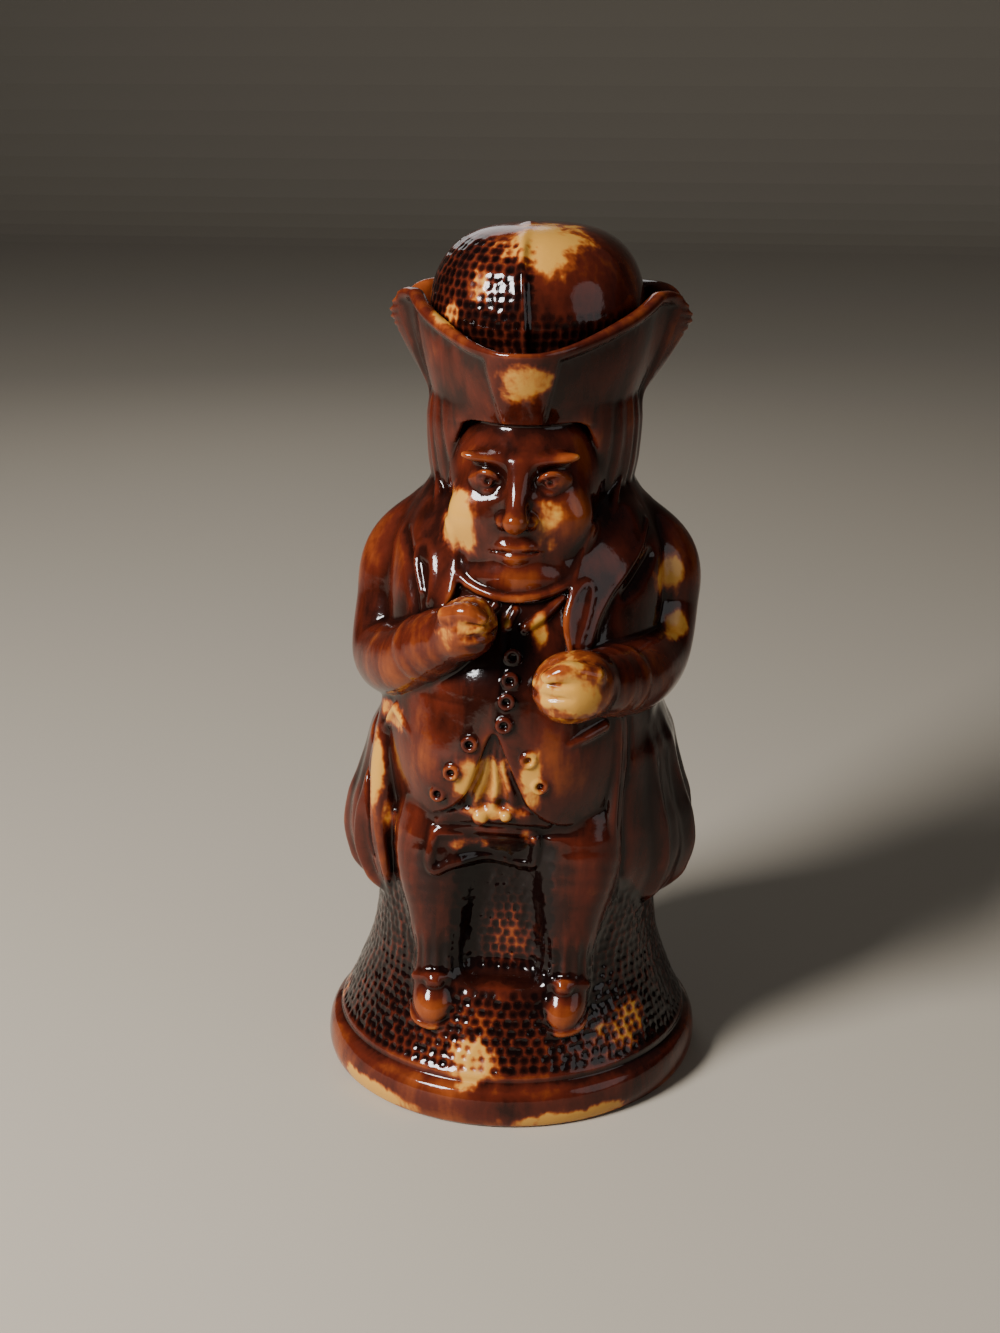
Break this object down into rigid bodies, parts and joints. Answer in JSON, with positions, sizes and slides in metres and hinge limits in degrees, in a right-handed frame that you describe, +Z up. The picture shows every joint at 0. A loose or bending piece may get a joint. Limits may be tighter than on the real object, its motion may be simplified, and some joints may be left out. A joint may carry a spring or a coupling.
{
  "type": "toby jug",
  "caption": "Pottery jug shaped as a stout standing figure in a cocked hat on a round base, with a loop handle behind and a lift-off cover formed as the hat's crown.",
  "frame": {"origin": "centre of the flat underside of the base", "axes": "+Z up, along the figure's height; the figure faces -Y and the handle is at +Y"},
  "size_m": [0.1146, 0.1397, 0.252],
  "materials": {
    "treacle_glaze": "thick glossy treacle-brown lead glaze over buff clay, near black in the hollows, red-brown and amber where it thins"
  },
  "bodies": {
    "root": {"jug": "treacle_glaze", "hat_crown_cover": "treacle_glaze"}
  },
  "joints": []
}
